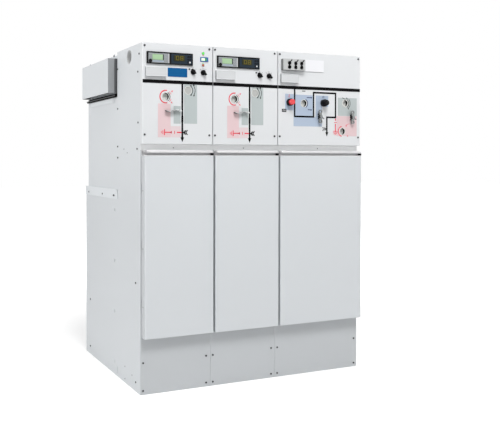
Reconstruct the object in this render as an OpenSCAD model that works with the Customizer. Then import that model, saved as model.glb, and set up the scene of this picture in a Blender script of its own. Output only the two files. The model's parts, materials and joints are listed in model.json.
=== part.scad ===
// Gas-insulated ring main switchgear: two ring-cable feeders and one wider transformer feeder
// in one sheet-steel block. X runs to the right, Y to the back, Z up. The origin lies on the
// floor, at the centre of the four floor bolts. Lengths are millimetres.

/* [Overall] */
// Width of a ring-cable feeder
feeder_w = 310; // [300:5:360]
// Width of the transformer feeder
transformer_w = 430; // [425:5:520]
// Height from the floor to the top of the operating boards
body_h = 1400; // [1380:10:1600]
// Depth of the side walls, from the plinth panels to the rear
body_d = 735; // [700:5:850]
// Thickness of the wall and panel sheets
sheet = 2; // [1.5:0.1:2.5]

/* [Base frame] */
// Height of the floor frame
base_h = 40; // [30:1:60]
// Thickness of the floor frame's angle sections
base_t = 3; // [2.5:0.5:5]
// Width of the floor frame's foot
foot_w = 45; // [36:1:60]
// Diameter of the floor bolt holes
floor_hole_d = 14; // [10:1:18]
// Distance of a floor bolt from the outside of the block
floor_hole_inset = 30; // [26:1:36]

/* [Side walls] */
// Depth of the mechanism housing at the front of the block
housing_d = 275; // [250:5:300]
// Width of the walls' front flange
flange_w = 25; // [20:1:30]
// Height of the cable compartment's walls
low_wall_h = 788; // [760:2:800]
// Height of the cross rail that joins the wall to the tank
rail_h = 42; // [30:1:60]
// Thickness of the cross rail
rail_t = 3; // [2:0.5:5]
// How far the tank's sides lie inside the walls' outer faces
tank_inset = 6; // [4:1:12]
// Diameter of the lifting hole near the top of each side wall
lift_hole_d = 56; // [40:1:60]
// Distance of the lifting hole's centre below the top of the wall
lift_hole_drop = 40; // [36:1:60]
// Distance of the lifting hole's centre behind the wall's front edge
lift_hole_back = 130; // [100:1:160]

/* [Gas tank] */
// Height of the tank's top below the top of the boards
tank_drop = 10; // [6:1:30]
// Radius of the tank's upright edges
tank_edge_r = 12; // [6:1:20]

/* [Side connection box] */
// How far the box stands out of the wall
box_out = 38; // [30:1:60]
// Length of the box from front to back
box_len = 384; // [300:2:400]
// Height of the box
box_h = 150; // [120:1:155]
// Distance of the box behind the mechanism housing
box_back = 14; // [10:1:20]
// Distance of the box's top below the top of the tank
box_drop = 15; // [12:1:24]
// Height of the channel under the box
channel_h = 16; // [14:1:30]

/* [Operating boards] */
// Height of an operating board
board_h = 400; // [390:5:420]
// How far the boards stand out of the plinth
board_out = 22; // [18:1:30]
// Gap between two boards
board_gap = 3; // [2:0.5:6]
// Height of the strip between the boards and the cable covers
strip_h = 24; // [24:1:40]

/* [Cable covers] */
// How far the covers stand out of the plinth
cover_out = 38; // [34:1:46]
// Height of a cover's lower edge above the floor
cover_bottom = 230; // [200:5:260]
// Gap between two covers
cover_gap = 8; // [6:0.5:12]
// Outer radius of a cover's folded edges
fold_r = 4; // [3:0.5:6]
// Height of the grip profile along a cover's top
grip_h = 24; // [20:1:30]
// Depth of the finger recess under the grip's lip
grip_recess = 12; // [8:1:16]
// Height of the lowest hook above a cover's lower edge
hook_low = 118; // [90:1:130]
// Distance of the highest hook below the foot of the grip profile
hook_high = 144; // [110:1:160]
// How far a cover is lifted to free its hooks
cover_lift = 18; // [14:1:18]

/* [Operating elements] */
// Radius of the sockets for the operating lever
socket_r = 14; // [11:0.5:16]
// Depth of the sockets for the operating lever
socket_depth = 12; // [8:1:16]
// Radius of a selector knob
knob_r = 11; // [9:0.5:14]
// Height of a selector knob
knob_h = 15; // [12:0.5:20]
// Radius of a push button's cap
button_r = 12; // [9:0.5:13]
// How far a push button stands out of its board
button_out = 30; // [26:1:40]
// Travel of a push button
button_travel = 4; // [3:0.5:5]
// Radius of the test sockets' round part
test_r = 4.5; // [3:0.5:6]

/* [Hidden] */

// Widths of the three feeders, and the whole width
widths = [feeder_w, feeder_w, transformer_w];
total_w = 2 * feeder_w + transformer_w;
left_x = -total_w / 2;
front_y = -body_d / 2;
rear_y = body_d / 2;
function feeder_x(i) = left_x + i * feeder_w;
function cover_end(i) = (i < 2) ? feeder_x(i) + feeder_w : -left_x;

// Clearances
seat = 0.3;
slide_gap = 0.5;
tiny = 0.05;

// Height of a cover's sheet, and the heights of its hooks above the floor
cover_h = body_h - board_h - strip_h - grip_h - cover_bottom;
hook_pitch = (cover_h - hook_low - hook_high) / 2;
function hook_z(k) = cover_bottom + hook_low + k * hook_pitch;

// Layers behind the plinth panels' face
flange_y = front_y + sheet;
housing_y = front_y + housing_d;
board_bottom = body_h - board_h;
cover_top = board_bottom - strip_h;
tank_top = body_h - tank_drop;
board_face = front_y - board_out;
cover_face = front_y - cover_out;
cover_rim = front_y - slide_gap;

// Hooks of the cable covers: a neck through a slot of the flange and a claw behind it
hook_t = 2;
hook_neck = 12;
hook_root = 20;
hook_claw = 10;
hook_claw_t = 4;
hook_inset = cover_gap / 2 + sheet;
slot_side = 2.5;
slot_spare = 2;

// Positions on the boards: distance from the feeder's left edge, and height below the top
relay_place = [17, 35];
relay_size = [200, 48];
label_place = [11, 96];
label_size = [89, 37];
label_out = 12;
knob_places = [[220, 108], [265, 108]];
knob_rests = [-45, 135];
earth_socket = [99.5, 211];
switch_socket = [198, 183];
gate_place = [128, 268];
wide_sockets = [[131, 218.5], [349, 212], [334, 337]];
button_places = [[57, 216], [232, 214]];
lock_places = [[210, 274], [382, 274]];
test_place = [16, 32];
test_size = [111, 48];
test_out = 18;
test_columns = [31, 62, 92];

wall_grey = [0.88, 0.89, 0.90];
board_grey = [0.93, 0.93, 0.94];
dark_grey = [0.25, 0.26, 0.28];
black = [0.08, 0.08, 0.09];

// A point on a board, and a point in the block measured from its front left corner
module on_board(i, p) { translate([feeder_x(i) + p[0], board_face, body_h - p[1]]) children(); }
module from_corner(x, y, z) { translate([left_x + x, front_y + y, z]) children(); }
// Turns a shape drawn flat so that it faces the front, with its thickness towards the back
module facing(depth) { rotate([90, 0, 0]) translate([0, 0, -depth]) linear_extrude(depth) children(); }
module drill(r, depth) { rotate([-90, 0, 0]) cylinder(r = r, h = depth, $fn = 48); }
module mirrored_pair() {
  children();
  mirror([1, 0, 0]) children();
}
function arc(cx, cy, r, a0, a1, n = 6) =
  [for (k = [0:n]) [cx + r * cos(a0 + (a1 - a0) * k / n), cy + r * sin(a0 + (a1 - a0) * k / n)]];

module base_frame() {
  y0 = flange_y + sheet;
  y1 = rear_y - sheet;
  x0 = left_x + sheet;
  color(wall_grey) difference() {
    union() {
      translate([x0, y0, 0]) difference() {
        cube([-2 * x0, y1 - y0, base_h]);
        translate([base_t, base_t, base_t]) cube([-2 * x0 - 2 * base_t, y1 - y0 - 2 * base_t, base_h]);
        translate([foot_w, foot_w, -1]) cube([-2 * x0 - 2 * foot_w, y1 - y0 - 2 * foot_w, base_h]);
      }
      for (i = [1, 2]) {
        translate([feeder_x(i) - foot_w / 2, y0 + base_t, 0]) cube([foot_w, y1 - y0 - 2 * base_t, base_t]);
        translate([feeder_x(i) - base_t / 2, y0 + base_t, 0]) cube([base_t, y1 - y0 - 2 * base_t, base_h]);
      }
    }
    for (sx = [-1, 1]) for (sy = [-1, 1])
      translate([sx * (total_w / 2 - floor_hole_inset), sy * (body_d / 2 - floor_hole_inset), -1])
        cylinder(d = floor_hole_d, h = base_t + 2, $fn = 48);
  }
}

module floor_plates() {
  y0 = flange_y + sheet + slide_gap;
  y1 = rear_y - sheet - slide_gap;
  color("silver") for (i = [0:2]) {
    x0 = feeder_x(i) + ((i == 0) ? 2 * sheet : sheet / 2) + slide_gap;
    x1 = cover_end(i) - ((i == 2) ? 2 * sheet : sheet / 2) - slide_gap;
    translate([x0, y0, base_h]) cube([x1 - x0, y1 - y0, sheet]);
  }
}

// Slots in a front flange for the hooks of the cover on one side of the line x
module hook_slots(x, side) {
  near = hook_inset - slot_side;
  wide = hook_t + 2 * slot_side;
  for (k = [0:2]) translate([(side > 0) ? x + near : x - near - wide, flange_y - 1, hook_z(k) - seat])
    cube([wide, sheet + 2, hook_neck + cover_lift + seat + slot_spare]);
}

module side_outline() {
  polygon([[sheet, 0], [body_d, 0], [body_d, low_wall_h], [housing_d, low_wall_h],
           [housing_d, body_h], [sheet, body_h]]);
}

clip_hole_back = 36;
clip_hole_x = housing_d + clip_hole_back;
clip_hole_low = 56;
clip_hole_high = 69;
clip_hole_pitch = (low_wall_h - clip_hole_low - clip_hole_high) / 3;

module side_wall() {
  color(wall_grey) difference() {
    union() {
      translate([left_x, front_y, 0]) rotate([90, 0, 90]) linear_extrude(sheet) side_outline();
      translate([left_x, flange_y, 0]) cube([flange_w, sheet, body_h - sheet]);
      translate([left_x, housing_y - flange_w, body_h - 2 * sheet]) cube([flange_w, flange_w, sheet]);
    }
    hook_slots(left_x, 1);
    from_corner(-1, lift_hole_back, body_h - lift_hole_drop) rotate([0, 90, 0])
      cylinder(d = lift_hole_d, h = sheet + 2, $fn = 64);
    for (k = [0:3]) from_corner(-1, clip_hole_x, clip_hole_low + k * clip_hole_pitch)
      rotate([0, 90, 0]) clip_hole();
    from_corner(-1, housing_d + 0.5, 28) rotate([0, 90, 0]) clip_hole(5, 30);
  }
}

// Upright slot with round ends, cut through a sheet
module clip_hole(w = 5, l = 14) {
  translate([-l / 2 + w / 2, -w / 2, 0]) cube([l - w, w, sheet + 2]);
  for (s = [-1, 1]) translate([s * (l - w) / 2, 0, 0]) cylinder(d = w, h = sheet + 2, $fn = 24);
}

module side_wall_left() { side_wall(); }
module side_wall_right() { mirror([1, 0, 0]) side_wall(); }

module frame_post(i) {
  x = feeder_x(i);
  back = housing_d - 2 * sheet;
  color(wall_grey) difference() {
    union() {
      translate([x - flange_w, flange_y, 0]) cube([2 * flange_w, sheet, body_h - sheet]);
      translate([x - sheet / 2, front_y, 0]) rotate([90, 0, 90]) linear_extrude(sheet)
        polygon([[sheet, base_h], [body_d - sheet, base_h], [body_d - sheet, low_wall_h],
                 [back, low_wall_h], [back, body_h - sheet], [sheet, body_h - sheet]]);
    }
    hook_slots(x, 1);
    hook_slots(x, -1);
  }
}

module frame_post_1() { frame_post(1); }
module frame_post_2() { frame_post(2); }

module rear_wall() {
  x0 = left_x + sheet;
  color(wall_grey) {
    translate([x0, rear_y - sheet, 0]) cube([-2 * x0, sheet, low_wall_h]);
    mirrored_pair() translate([x0, rear_y - flange_w, base_h + sheet])
      cube([sheet, flange_w, low_wall_h - base_h - sheet]);
  }
}

pad_y = 45;
pad_len = 336;
pad_low = 205;
lug_w = 14;
lug_h = 16;
rib_w = 60;
rib_d = 10;

module gas_tank() {
  w = total_w - 2 * tank_inset;
  d = body_d - housing_d - rib_d;
  h = tank_top - low_wall_h;
  r = tank_edge_r;
  color(wall_grey) {
    translate([0, housing_y, low_wall_h]) {
      translate([-w / 2, 0, 0]) cube([w, d - r, h]);
      translate([-w / 2 + r, 0, 0]) cube([w - 2 * r, d, h]);
      for (s = [-1, 1]) translate([s * (w / 2 - r), d - r, 0]) cylinder(r = r, h = h, $fn = 48);
      for (i = [0:2]) for (k = [1, 2])
        translate([feeder_x(i) + k * widths[i] / 3 - rib_w / 2, d - tiny, sheet])
          cube([rib_w, rib_d + tiny, h - 2 * sheet]);
    }
    mirrored_pair() {
      translate([-w / 2 - sheet, housing_y + box_back + pad_y, tank_top - pad_low])
        cube([sheet + tiny, pad_len, pad_low]);
      for (y = [box_back + pad_y - lug_w, box_back + pad_y + pad_len])
        translate([-w / 2 - sheet, housing_y + y, tank_top - lug_h])
          cube([sheet + tiny, lug_w, lug_h + tank_drop - sheet]);
    }
  }
}

// Angle rail that covers the joint between the low wall and the tank
module cross_rail() {
  color(wall_grey) translate([left_x, housing_y + sheet, low_wall_h - rail_h / 2])
    rotate([90, 0, 0]) mirror([0, 0, 1]) linear_extrude(body_d - housing_d - 2 * sheet)
      polygon([[-rail_t, 0], [0, 0], [0, rail_h - rail_t], [tank_inset, rail_h - rail_t],
               [tank_inset, rail_h], [-rail_t, rail_h]]);
}

module cross_rail_left() { cross_rail(); }
module cross_rail_right() { mirror([1, 0, 0]) cross_rail(); }

box_y = housing_y + box_back;
box_top = tank_top - box_drop;
box_lip = 10;

module connection_box() {
  x0 = left_x - box_out;
  depth = box_out + tank_inset - sheet;
  color(wall_grey) translate([x0, box_y, box_top - box_h]) {
    cube([sheet, box_len, box_h]);
    cube([box_lip, box_len, sheet]);
    translate([0, 0, box_h - sheet]) cube([depth, box_len, sheet]);
    for (y = [0, box_len - sheet]) translate([0, y, 0]) cube([depth, sheet, box_h]);
  }
}

channel_d = 11;
channel_over = 32;
channel_wall = 2;
seal_h = 3.5;
seal_back = 2;
ledge_h = 5;

// Channel with a dark foot along the tank and a ledge with an upturned lip above it
module box_channel() {
  z = box_top - box_h - channel_h;
  web = -channel_wall;
  foot = seal_back - channel_d;
  color(dark_grey) translate([left_x + tank_inset - sheet, box_y - sheet, z])
    rotate([90, 0, 0]) mirror([0, 0, 1]) linear_extrude(box_len + channel_over)
      polygon([[0, 0], [0, channel_h], [web, channel_h], [web, seal_h + channel_wall],
               [channel_wall - channel_d, seal_h + channel_wall],
               [channel_wall - channel_d, seal_h + ledge_h],
               [-channel_d, seal_h + ledge_h], [-channel_d, seal_h], [foot, seal_h], [foot, 0]]);
}

module roof_cover() {
  x0 = left_x + sheet;
  color(wall_grey) {
    translate([x0, flange_y, body_h - sheet]) cube([-2 * x0, housing_d - 2 * sheet, sheet]);
    translate([x0 + flange_w, housing_y - 2 * sheet, body_h - flange_w])
      cube([-2 * x0 - 2 * flange_w, sheet, flange_w]);
  }
}

// Sheet tray open to the back: outer width, height, depth and fold radius
module tray(w, h, d, r) {
  translate([0, 0, 0]) linear_extrude(h) difference() {
    polygon(concat([[0, d]], arc(r, r, r, 180, 270), arc(w - r, r, r, 270, 360), [[w, d]]));
    polygon(concat([[sheet, d + 1]], arc(r, r, r - sheet, 180, 270),
                   arc(w - r, r, r - sheet, 270, 360), [[w - sheet, d + 1]]));
  }
  for (z = [0, h - sheet]) translate([0, 0, z]) linear_extrude(sheet)
    polygon(concat([[0, d]], arc(r, r, r, 180, 270), arc(w - r, r, r, 270, 360), [[w, d]]));
}

module board(i) {
  x0 = feeder_x(i) + ((i == 0) ? 0 : board_gap / 2);
  x1 = cover_end(i) - ((i == 2) ? 0 : board_gap / 2);
  color(board_grey) difference() {
    translate([x0, board_face, board_bottom]) tray(x1 - x0, board_h, flange_y - board_face, 3);
    children();
  }
}

module board_hole(i, p, r) { on_board(i, p) translate([0, -1, 0]) drill(r, sheet + 2); }

// Part of an instrument behind its bezel: clear of the frame's flange at the sides
window_rim = 3;
function side_rim(p) = flange_w + slide_gap - p[0];
module inner_box(p, size, play, depth) {
  x = side_rim(p) + play;
  z = window_rim + play;
  translate([x, 0, z - size[1]]) cube([size[0] - 2 * x, depth, size[1] - 2 * z]);
}
module board_window(i, p, size) { on_board(i, p) translate([0, -1, 0]) inner_box(p, size, 0, sheet + 2); }

shaft_r = 3;
knob_hole_r = shaft_r + slide_gap;
button_hole_r = button_r + slide_gap;

module ring_board(i) {
  board(i) {
    board_window(i, relay_place, relay_size);
    for (p = knob_places) board_hole(i, p, knob_hole_r);
    for (p = [earth_socket, switch_socket]) board_hole(i, p, socket_r);
  }
}

module operating_board_1() { ring_board(0); }
module operating_board_2() { ring_board(1); }
module operating_board_3() {
  board(2) {
    board_window(2, test_place, test_size);
    for (p = wide_sockets) board_hole(2, p, socket_r);
    for (p = button_places) board_hole(2, p, button_hole_r);
  }
}

module recess_strip(i) {
  color(board_grey) translate([feeder_x(i), front_y, cover_top]) {
    cube([widths[i], sheet, strip_h - seat]);
    translate([flange_w + sheet, 0, 0]) cube([widths[i] - 2 * flange_w - 2 * sheet, 5 * sheet, sheet]);
  }
}

module recess_strip_1() { recess_strip(0); }
module recess_strip_2() { recess_strip(1); }
module recess_strip_3() { recess_strip(2); }

plinth_gap = 1;

module plinth_panel(i) {
  x0 = feeder_x(i) + ((i == 0) ? 0 : plinth_gap / 2);
  x1 = cover_end(i) - ((i == 2) ? 0 : plinth_gap / 2);
  color(wall_grey) {
    translate([x0, front_y, seat]) cube([x1 - x0, sheet, cover_bottom - slide_gap - seat]);
    translate([x0 + flange_w + sheet, front_y, cover_bottom - slide_gap - sheet])
      cube([x1 - x0 - 2 * flange_w - 2 * sheet, 8 * sheet, sheet]);
  }
}

module plinth_panel_1() { plinth_panel(0); }
module plinth_panel_2() { plinth_panel(1); }
module plinth_panel_3() { plinth_panel(2); }

function cover_x(i) = feeder_x(i) + cover_gap / 2;
function cover_w(i) = widths[i] - cover_gap;

// One hook: a plate on the cover's flank with a neck through the slot and a claw behind it
module hook() {
  reach = flange_y + sheet + seat - cover_rim;
  translate([0, cover_rim, 0]) rotate([90, 0, 90]) linear_extrude(hook_t)
    polygon([[-hook_root, -hook_claw], [0, -hook_claw], [0, 0], [reach, 0], [reach, -hook_claw],
             [reach + hook_claw_t, -hook_claw + 2], [reach + hook_claw_t, hook_neck - 2],
             [reach + 2, hook_neck], [-hook_root, hook_neck]]);
}

module cable_cover(i) {
  w = cover_w(i);
  color(wall_grey) {
    translate([cover_x(i), cover_face, cover_bottom]) tray(w, cover_h, cover_rim - cover_face, fold_r);
    for (k = [0:2]) for (x = [cover_x(i) + sheet, cover_x(i) + w - sheet - hook_t])
      translate([x, 0, hook_z(k)]) hook();
  }
}

module cable_cover_1() { cable_cover(0); }
module cable_cover_2() { cable_cover(1); }
module cable_cover_3() { cable_cover(2); }

grip_wall = 2.5;
lip_slope = 9;
lip_back = 14;
grip_notch = 10;
grip_end = 10;
tab_front = 4;

// Section of the grip profile, drawn with depth from the cover's face and height from its foot
module grip_section() {
  d = cover_rim - cover_face;
  difference() {
    polygon([[0, 0], [d, 0], [d, grip_h], [lip_back, grip_h], [0, grip_h - lip_slope + 0.5],
             [0, grip_h - lip_slope - grip_wall + 0.5], [grip_recess, grip_h - lip_slope - grip_wall],
             [grip_recess, grip_wall + 1], [0, grip_wall]]);
    polygon([[grip_recess + grip_wall, grip_wall], [d - grip_wall, grip_wall],
             [d - grip_wall, grip_h - grip_wall], [lip_back + 1, grip_h - grip_wall],
             [grip_recess + grip_wall, grip_h - grip_wall - 1.5]]);
  }
}

module grip_profile(i) {
  color("white") translate([cover_x(i), cover_face, cover_top - grip_h]) difference() {
    rotate([90, 0, 90]) linear_extrude(cover_w(i)) grip_section();
    translate([-1, -1, grip_h - lip_slope - grip_wall - 1])
      cube([grip_notch + 1, lip_back - 2, lip_slope + grip_wall + 2]);
  }
}

module grip_profile_1() { grip_profile(0); }
module grip_profile_2() { grip_profile(1); }
module grip_profile_3() { grip_profile(2); }

// Black stop in the finger recess at the right, and the small tab in the lip's notch
module grip_cap(i) {
  gap = grip_h - lip_slope - 2 * grip_wall - 1;
  notch_z = grip_h - lip_slope - grip_wall;
  color(black) translate([cover_x(i), cover_face, cover_top - grip_h]) {
    translate([cover_w(i) - grip_end, 0, grip_wall + 1]) cube([grip_end, grip_recess, gap]);
    translate([1, tab_front, notch_z + 1])
      cube([grip_notch - 2, lip_back - 3 - seat - tab_front, lip_slope + grip_wall - 2]);
  }
}

module grip_cap_1() { grip_cap(0); }
module grip_cap_2() { grip_cap(1); }
module grip_cap_3() { grip_cap(2); }

relay_out = 6;
relay_deep = 60;
relay_border = 4;
key_column = 76;
key_pitch = 9;
key_size = [6, 2, 7];
window_left = [24, 16];
window_low = 16;
window_size = [48, 3, 22];

// Two instruments side by side in one frame, each with a recessed face and a raised window
module relay_pair(i) {
  w = relay_size[0] / 2;
  h = relay_size[1];
  color(black) on_board(i, relay_place) translate([0, 0, -h]) {
    difference() {
      translate([0, -relay_out, 0]) cube([2 * w, relay_out, h]);
      for (k = [0, 1]) translate([k * w + relay_border, -relay_out - 1, relay_border])
        cube([w - 2 * relay_border, 3, h - 2 * relay_border]);
    }
    for (k = [0, 1]) translate([k * w + window_left[k], -relay_out, window_low]) cube(window_size);
    for (k = [0, 1]) for (a = [0:1]) for (b = [0:2])
      translate([k * w + key_column + a * key_pitch, -relay_out + 1, 9 + b * 11]) cube(key_size);
    translate([0, 0, h]) inner_box(relay_place, relay_size, seat, relay_deep);
  }
}

module relay_pair_1() { relay_pair(0); }
module relay_pair_2() { relay_pair(1); }

lamp_r = 5;
lamp_out = 3;
rocker_size = [36, 19];
rocker_place = [252, 45];
lamp_places = [[265, 30], [265, 78]];

module indicator_unit() {
  color("steelblue") on_board(0, rocker_place) translate([0, -lamp_out, -rocker_size[1]])
    cube([rocker_size[0], lamp_out, rocker_size[1]]);
  color("limegreen") for (p = lamp_places) on_board(0, p) {
    translate([0, -lamp_out, 0]) drill(lamp_r, lamp_out);
  }
}

// Pocket for a written label: a shallow box with a window in its face
module label_holders() {
  color(board_grey) for (i = [0:2]) on_board(i, label_place)
    translate([0, -label_out, -label_size[1]]) difference() {
      cube([label_size[0], label_out, label_size[1]]);
      translate([3, -1, 3]) cube([label_size[0] - 6, 2, label_size[1] - 6]);
    }
}

test_upper = 18;
test_lower = 35;
test_depth = 12;
insert_w = 2 * test_r + 6;
insert_h = test_lower - test_upper;
insert_deep = test_depth + 2;

// Grey bezel with three upright pockets for the socket inserts
module voltage_socket_block() {
  w = test_size[0];
  h = test_size[1];
  color("gray") on_board(2, test_place) difference() {
    union() {
      translate([0, -test_out, -h]) cube([w, test_out, h]);
      inner_box(test_place, test_size, seat, relay_deep / 2);
    }
    for (x = test_columns)
      translate([x - insert_w / 2, -test_out - 1, -test_lower - insert_h / 2])
        cube([insert_w, insert_deep + 1, 2 * insert_h]);
  }
}

// One insert for each socket, two above each other in a pocket
module test_inserts() {
  color(black) for (x = test_columns) for (z = [test_upper, test_lower])
    on_board(2, test_place) translate([x, -test_out, -z]) difference() {
      translate([seat - insert_w / 2, 0.5, seat - insert_h / 2])
        cube([insert_w - 2 * seat, insert_deep - 0.5, insert_h - 2 * seat]);
      translate([0, -1, 0]) drill(test_r, test_depth + 1);
    }
}

// Selector knob: a round skirt with a grip bar across it, on a shaft through the board
module selector_knob(i, k) {
  color(black) on_board(i, knob_places[k]) rotate([0, knob_rests[k], 0]) {
    translate([0, -seat - 4, 0]) drill(knob_r, 4);
    translate([0, -seat - 7, 0]) drill(knob_r - 1.5, 4);
    translate([-3, -knob_h, 1 - knob_r]) cube([6, knob_h - seat - 4, 2 * knob_r + 2]);
    translate([0, -seat - 1, 0]) drill(shaft_r, 14);
  }
}

module selector_knob_1() { selector_knob(0, 0); }
module selector_knob_2() { selector_knob(0, 1); }
module selector_knob_3() { selector_knob(1, 0); }
module selector_knob_4() { selector_knob(1, 1); }

collar_out = 16;
collar_wall = 3;
button_stem = 8 + button_travel;

module push_button(k) {
  on_board(2, button_places[k]) rotate([-90, 0, 0]) rotate_extrude($fn = 64)
    polygon(concat([[0, button_stem]], [[0, -button_out]],
                   arc(button_r - 3, 3 - button_out, 3, 270, 360), [[button_r, button_stem]]));
}

module red_push_button() { color("red") push_button(0); }
module black_push_button() { color(black) push_button(1); }
module button_collars() {
  color(black) for (p = button_places) on_board(2, p) rotate([-90, 0, 0]) difference() {
    translate([0, 0, -collar_out]) cylinder(r = button_hole_r + collar_wall, h = collar_out, $fn = 64);
    translate([0, 0, -collar_out - 1]) cylinder(r = button_hole_r, h = collar_out + 2, $fn = 64);
  }
}

sleeve_wall = 3;
socket_floor = 3;
drive_r = 8;
drive_slot = 3;
shutter_back = 1;

// Sleeve behind the board, with the slotted end of the drive shaft at its floor
module lever_socket() {
  difference() {
    translate([0, sheet, 0]) drill(socket_r + sleeve_wall, socket_depth - sheet + socket_floor);
    translate([0, sheet - 1, 0]) drill(socket_r, socket_depth - sheet + 1);
    translate([-drive_r, socket_depth - 1, -drive_slot / 2]) cube([2 * drive_r, 2.5, drive_slot]);
  }
}

module lever_sockets() {
  color("lightgray") {
    for (i = [0, 1]) {
      on_board(i, earth_socket) lever_socket();
      on_board(i, switch_socket) {
        translate([0, sheet, 0]) drill(socket_r + sleeve_wall, socket_floor);
        translate([0, shutter_back, 0]) drill(socket_r - seat, sheet);
      }
    }
    for (p = wide_sockets) on_board(2, p) lever_socket();
  }
}

gate_len = 65;
gate_t = 2.5;
gate_out = 16;
gate_roll = 3;

// Control gate: a thin plate standing out of the board, bent in a gentle wave, with a rolled end
module control_gates() {
  color("silver") for (i = [0, 1]) on_board(i, gate_place) rotate([90, 0, 0])
    linear_extrude(gate_out) {
      polygon(concat(
        [for (k = [0:16]) [gate_len * (k / 16 - 0.5), 4 * sin(360 * k / 16 + 180)]],
        [for (k = [16:-1:0]) [gate_len * (k / 16 - 0.5), gate_t + 4 * sin(360 * k / 16 + 180)]]));
      translate([gate_len / 2, gate_t / 2]) circle(r = gate_roll, $fn = 24);
    }
}

lock_eye_r = 9;
lock_hole_r = 4.5;
lock_span = 42;
lock_t = 4;
lock_lift = 9;
lock_foot = 5;
lock_hub_r = 7;
lock_hub_out = 18;
lock_tab = [18, 4, 4];
lock_tilt = 35;

// Bracket on the board whose eye stands off it, so that a shackle passes behind
module lock_eye() {
  z = lock_hub_r + seat;
  proud = lock_lift + lock_t;
  translate([-lock_hub_r, -proud, z]) cube([2 * lock_hub_r, proud, lock_foot]);
  translate([0, -proud, 0]) difference() {
    union() {
      translate([-lock_hub_r, 0, z]) cube([2 * lock_hub_r, lock_t, lock_span / 2 - z]);
      translate([0, 0, lock_span / 2]) drill(lock_eye_r, lock_t);
    }
    translate([0, -1, lock_span / 2]) drill(lock_hole_r, lock_t + 2);
  }
}

// Locking device: a round hub with a slanted tab, and a bracket with an eye above and below it
module locking_devices() {
  color("silver") for (p = lock_places) on_board(2, p) {
    for (t = [0, 180]) rotate([0, t, 0]) lock_eye();
    translate([0, -lock_hub_out, 0]) drill(lock_hub_r, lock_hub_out);
    translate([0, -lock_hub_out, 0]) rotate([0, lock_tilt, 0])
      translate([0, 0, -lock_tab[2] / 2]) cube(lock_tab);
  }
}

base_frame();
floor_plates();
side_wall_left();
side_wall_right();
frame_post_1();
frame_post_2();
rear_wall();
gas_tank();
cross_rail_left();
cross_rail_right();
connection_box();
box_channel();
roof_cover();
operating_board_1();
operating_board_2();
operating_board_3();
recess_strip_1();
recess_strip_2();
recess_strip_3();
plinth_panel_1();
plinth_panel_2();
plinth_panel_3();
cable_cover_1();
cable_cover_2();
cable_cover_3();
grip_profile_1();
grip_profile_2();
grip_profile_3();
grip_cap_1();
grip_cap_2();
grip_cap_3();
relay_pair_1();
relay_pair_2();
indicator_unit();
label_holders();
voltage_socket_block();
test_inserts();
selector_knob_1();
selector_knob_2();
selector_knob_3();
selector_knob_4();
red_push_button();
black_push_button();
button_collars();
lever_sockets();
control_gates();
locking_devices();
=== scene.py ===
"""Looks of a gas-insulated switchgear block: paint, mimic diagram, instruments, screws and studio."""
import json
import math

import bpy
from mathutils import Matrix, Vector


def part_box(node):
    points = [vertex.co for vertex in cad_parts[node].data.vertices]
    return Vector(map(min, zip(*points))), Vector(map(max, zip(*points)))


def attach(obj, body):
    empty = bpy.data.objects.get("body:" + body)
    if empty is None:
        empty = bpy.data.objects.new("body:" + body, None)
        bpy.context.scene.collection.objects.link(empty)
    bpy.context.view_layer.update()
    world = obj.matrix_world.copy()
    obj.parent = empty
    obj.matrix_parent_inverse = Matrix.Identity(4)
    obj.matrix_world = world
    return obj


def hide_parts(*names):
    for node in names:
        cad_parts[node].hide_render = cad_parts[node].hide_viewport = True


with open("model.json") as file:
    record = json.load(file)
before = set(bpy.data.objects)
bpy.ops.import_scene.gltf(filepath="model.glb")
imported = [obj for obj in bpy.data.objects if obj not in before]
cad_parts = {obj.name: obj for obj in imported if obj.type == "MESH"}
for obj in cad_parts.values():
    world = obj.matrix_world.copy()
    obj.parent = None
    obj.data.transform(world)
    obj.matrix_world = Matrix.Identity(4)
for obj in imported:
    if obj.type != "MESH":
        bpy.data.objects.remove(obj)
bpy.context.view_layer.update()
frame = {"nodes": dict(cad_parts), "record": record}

bl_info = {
    "name": "Switchgear Block Dresser",
    "version": (1, 0, 0),
    "blender": (4, 5, 0),
    "location": "View3D > Sidebar > Switchgear",
    "description": "Builds the finish, the mimic diagram, the instruments and the studio of a switchgear block",
    "category": "Object",
}

MM = 0.001
FEEDERS = (1, 2, 3)
RING_FEEDERS = (1, 2)
BODY = "block"

# Places on a board: millimetres from the feeder's left edge and below the board's top edge
KNOB_PLACES = ((220, 108), (265, 108))
EARTH_SOCKET = (99.5, 211)
SWITCH_SOCKET = (198, 183)
WIDE_SOCKETS = ((131, 218.5), (349, 212), (334, 337))
BUTTON_PLACES = ((57, 216), (232, 214))
TEST_COLUMNS = (47, 78, 108)
BUS_DROP = 152
FEEDER_LINE_X = 172
EARTHING_ROW = 353

# Other places and sizes, in millimetres; the lifting hole from the front and from the top of the wall
LIFT_HOLE = (130, 40)
SOCKET_RADIUS = 14.2
SOCKET_RING = (15.7, 2.6)
BUTTON_HOLE = 12.8
PRINT_SUNK = 0.3
PRINT_EDGE = 0.1

BODIES = {node: body for body, nodes in frame["record"]["behaviour"]["bodies"].items() for node in nodes}


# Sizes and colours that a user would change

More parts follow.
